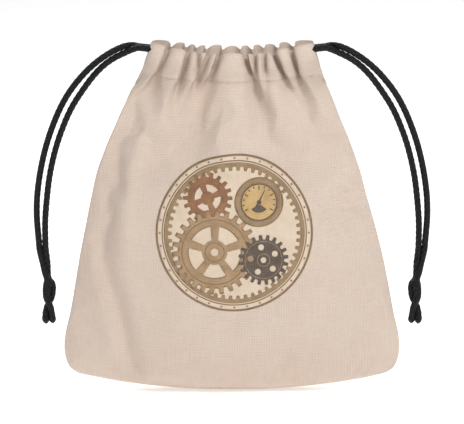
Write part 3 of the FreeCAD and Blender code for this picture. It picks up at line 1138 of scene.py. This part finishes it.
def canvas_colour(g, flat, weave):
    """Pale threads, painted shade that darkens the gaps of the weave, slubs along both threads, a soft
    mottle and rare flecks.
    """
    slub_u = g.noise(g.stretch(flat, 0.12, 1.9), 1.0, 2.0, 0.6)
    slub_v = g.noise(g.stretch(flat, 1.9, 0.10), 1.0, 2.0, 0.6)
    slubs = g.times(g.plus(slub_u, slub_v), 0.5)
    mottle = g.noise(flat, 0.045, 3.0)
    shade = g.plus(g.times(slubs, 0.95), g.times(mottle, 0.35))
    # painted shade: the gaps of the weave are coloured darker, the crowns of the threads lighter
    shade = g.plus(g.minus(shade, g.times(weave, 0.85)), 0.16, clamp=True)
    base = g.mix(shade, CANVAS_LIGHT, CANVAS_DARK)
    specks = g.node("TexVoronoi", {"Vector": g.stretch(flat, 1.0, 0.6), "Scale": 0.42})
    near = g.math("LESS_THAN", specks.outputs["Distance"], 0.085)
    rare = g.math("GREATER_THAN", g.parts(specks.outputs["Color"])[0], 0.8)
    return g.mix(g.times(g.times(near, rare), 0.45), base, FLECK)


@functools.cache
def canvas_material():
    """Natural cotton canvas: plain weave with slubs, flecks and a soft mottle."""
    g = Graph("canvas")
    flat = g.flat_mm()
    weave = g.weave(flat)
    fuzz = g.noise(flat, 6.0, 3.0, 0.7)
    coarse = g.bump(g.noise(flat, 0.35, 3.0), 0.25 * MM, 0.5)
    return g.finish(
        Base_Color=canvas_colour(g, flat, weave),
        Normal=g.bump(g.plus(weave, g.times(fuzz, 0.35)), 0.16 * MM, 0.9, coarse),
        Roughness=g.plus(0.82, g.times(fuzz, 0.15)),
        Specular_IOR_Level=0.25, Sheen_Weight=0.25, Sheen_Roughness=0.6, Sheen_Tint=(1.0, 0.95, 0.9, 1))


@functools.cache
def thread_material():
    """Twisted cotton sewing thread, a little yellower than the canvas, with painted shade in the grooves of
    its twist.
    """
    g = Graph("thread")
    u, v, _ = g.parts(g.flat_mm())
    ply = g.plus(g.times(u, 9.0), g.times(v, 12.566))
    twist = g.math("ABSOLUTE", g.math("SINE", ply))
    return g.finish(
        # painted shade: darker colour in the grooves of the twist, lighter on its crowns
        Base_Color=g.mix(twist, (0.44, 0.33, 0.235, 1), (0.74, 0.61, 0.49, 1)),
        Normal=g.bump(twist, 0.06 * MM), Roughness=0.7)


@functools.cache
def cord_material():
    """Black braided cord with a faint satin sheen along its filaments, partly real and partly painted as
    lighter colour on the crowns of the braid.
    """
    g = Graph("cord")
    flat = g.flat_mm()
    u, v, _ = g.parts(flat)
    along = g.times(u, 2 * math.pi / BRAID_PITCH)
    around = g.times(v, 2 * math.pi * BRAID_STRANDS)
    rising = g.plus(around, along)
    falling = g.minus(around, along)
    left = g.math("COSINE", rising)
    right = g.math("COSINE", falling)
    braid = g.math("MAXIMUM", left, right)
    lies_left = g.math("GREATER_THAN", left, right)
    fine_left = g.math("SINE", g.times(falling, 4.0))
    fine_right = g.math("SINE", g.times(rising, 4.0))
    fine = g.plus(g.times(fine_left, lies_left), g.times(fine_right, g.minus(1.0, lies_left)))
    wear_and_sheen = g.noise(flat, 0.8, 3.0)
    # painted sheen: the crowns of the braid are coloured lighter, more so where the noise is high
    share = g.times(g.times(g.plus(braid, 0.4), wear_and_sheen), 0.9, clamp=True)
    return g.finish(
        Base_Color=g.mix(share, (0.0022, 0.0022, 0.003, 1), (0.012, 0.012, 0.015, 1)),
        Normal=g.bump(g.plus(braid, g.times(fine, 0.22)), 0.09 * MM, 0.8),
        Roughness=g.minus(0.62, g.times(wear_and_sheen, 0.2)), Specular_IOR_Level=0.22)


@functools.cache
def tip_material():
    """The melted end of a cord: smooth, hard and slightly blistered."""
    g = Graph("cord_tip")
    blister = g.noise(g.flat_mm(), 2.5, 3.0)
    return g.finish(
        Base_Color=g.mix(blister, (0.003, 0.003, 0.0035, 1), (0.014, 0.013, 0.014, 1)),
        Normal=g.bump(blister, 0.12 * MM), Roughness=0.4, Specular_IOR_Level=0.25)


# Two tones of each printing ink.
INKS = {
    "light": ((0.73, 0.60, 0.465, 1), (0.64, 0.51, 0.38, 1)),
    "line": ((0.185, 0.110, 0.052, 1), (0.275, 0.175, 0.092, 1)),
    "bronze": ((0.235, 0.150, 0.074, 1), (0.36, 0.245, 0.135, 1)),
    "tan": ((0.43, 0.285, 0.155, 1), (0.29, 0.18, 0.09, 1)),
    "dark": ((0.060, 0.043, 0.032, 1), (0.125, 0.092, 0.070, 1)),
    "copper": ((0.20, 0.085, 0.034, 1), (0.33, 0.155, 0.066, 1)),
    "dial": ((0.62, 0.42, 0.18, 1), (0.43, 0.27, 0.11, 1)),
}


@functools.cache
def ink_material(ink):
    """Screen-print ink that sits on the crowns of the weave and is thin in its gaps."""
    g = Graph("ink_" + ink)
    flat = g.flat_mm()
    weave = g.weave(flat)
    tone = g.noise(flat, 0.16, 4.0, 0.6)
    tone = g.plus(g.times(g.minus(tone, 0.5), 2.2), 0.5, clamp=True)
    grain = g.noise(flat, 2.6, 3.0, 0.7)
    bare = g.times(g.minus(0.38, weave), g.times(grain, 0.7), clamp=True)
    return g.finish(
        Base_Color=g.mix(bare, g.mix(tone, *INKS[ink]), CANVAS_LIGHT),
        Normal=g.bump(weave, 0.12 * MM, 0.8),
        Roughness=g.plus(0.62, g.times(grain, 0.2)))


# ---- studio
def make_backdrop():
    """A pale floor that sweeps up into the wall behind."""
    radius = 0.6
    back = 1.1
    half = 3.0
    bends = [math.pi / 2 * i / 12 for i in range(13)]
    profile = [(-2.5, 0.0)] + [(back + radius * math.sin(a), radius * (1 - math.cos(a))) for a in bends]
    profile.append((back + radius, 3.0))
    verts = [(x, y, z) for y, z in profile for x in (-half, half)]
    faces = [(2 * i, 2 * i + 1, 2 * i + 3, 2 * i + 2) for i in range(len(profile) - 1)]
    floor = new_object("backdrop", np.array(verts) / MM, faces)
    g = Graph("backdrop")
    grain = g.noise(g.node("TexCoord").outputs["Object"], 40.0)
    floor.data.materials.append(g.finish(
        Base_Color=g.mix(grain, (0.95, 0.95, 0.95, 1), (0.98, 0.98, 0.98, 1)),
        Roughness=0.9, Emission_Color=(1, 1, 1, 1), Emission_Strength=0.36))


def area_light(name, place, size, power, aim=(0, 0, 0.08)):
    light = bpy.data.lights.new(name, "AREA")
    light.energy = power
    light.size = size
    obj = bpy.data.objects.new(name, light)
    obj.location = place
    obj.rotation_euler = (Vector(aim) - Vector(place)).to_track_quat("-Z", "Y").to_euler()
    bpy.context.scene.collection.objects.link(obj)


def make_studio():
    """Soft light from a world that the camera sees as white, and three lamps."""
    make_backdrop()
    world = bpy.data.worlds.new("studio")
    bpy.context.scene.world = world
    world.use_nodes = True
    nodes, links = world.node_tree.nodes, world.node_tree.links
    background = nodes["Background"]
    background.inputs["Color"].default_value = (1.0, 1.0, 1.0, 1)
    seen = nodes.new("ShaderNodeLightPath")
    level = nodes.new("ShaderNodeMapRange")
    level.inputs["To Min"].default_value = 0.31  # what lights the bag
    level.inputs["To Max"].default_value = 1.0  # what the camera sees past the backdrop
    links.new(seen.outputs["Is Camera Ray"], level.inputs["Value"])
    links.new(level.outputs[0], background.inputs["Strength"])
    area_light("key", (0.38, -0.62, 0.86), 0.36, 6.3)
    area_light("fill", (-0.75, -0.85, 0.30), 0.9, 1.8)
    area_light("back", (-0.3, 0.9, 0.8), 0.6, 5.0)
    bpy.context.scene.view_settings.view_transform = "Standard"


def make_camera():
    """The picture is level with the bag, from a little above, through a long lens."""
    distance = 0.95
    frame_width = 0.204  # what the picture is wide at the bag
    aim = Vector((0.0, 0.0, 0.0795))
    tilt = math.radians(9.0)
    camera = bpy.data.cameras.new("camera")
    camera.sensor_width = 36.0
    camera.lens = camera.sensor_width * distance / frame_width
    obj = bpy.data.objects.new("camera", camera)
    obj.location = aim + Vector((0, -distance * math.cos(tilt), distance * math.sin(tilt)))
    obj.rotation_euler = (aim - obj.location).to_track_quat("-Z", "Y").to_euler()
    bpy.context.scene.collection.objects.link(obj)
    bpy.context.scene.camera = obj


cloth_surface, seam_points = make_pouch()
make_stitches(cloth_surface)
make_seam_ladders(cloth_surface)
make_allowances(cloth_surface, seam_points)
for cord_side, cord_sign in SIDES:
    make_cord(cord_side, cord_sign)
make_print(cloth_surface)
make_studio()
make_camera()
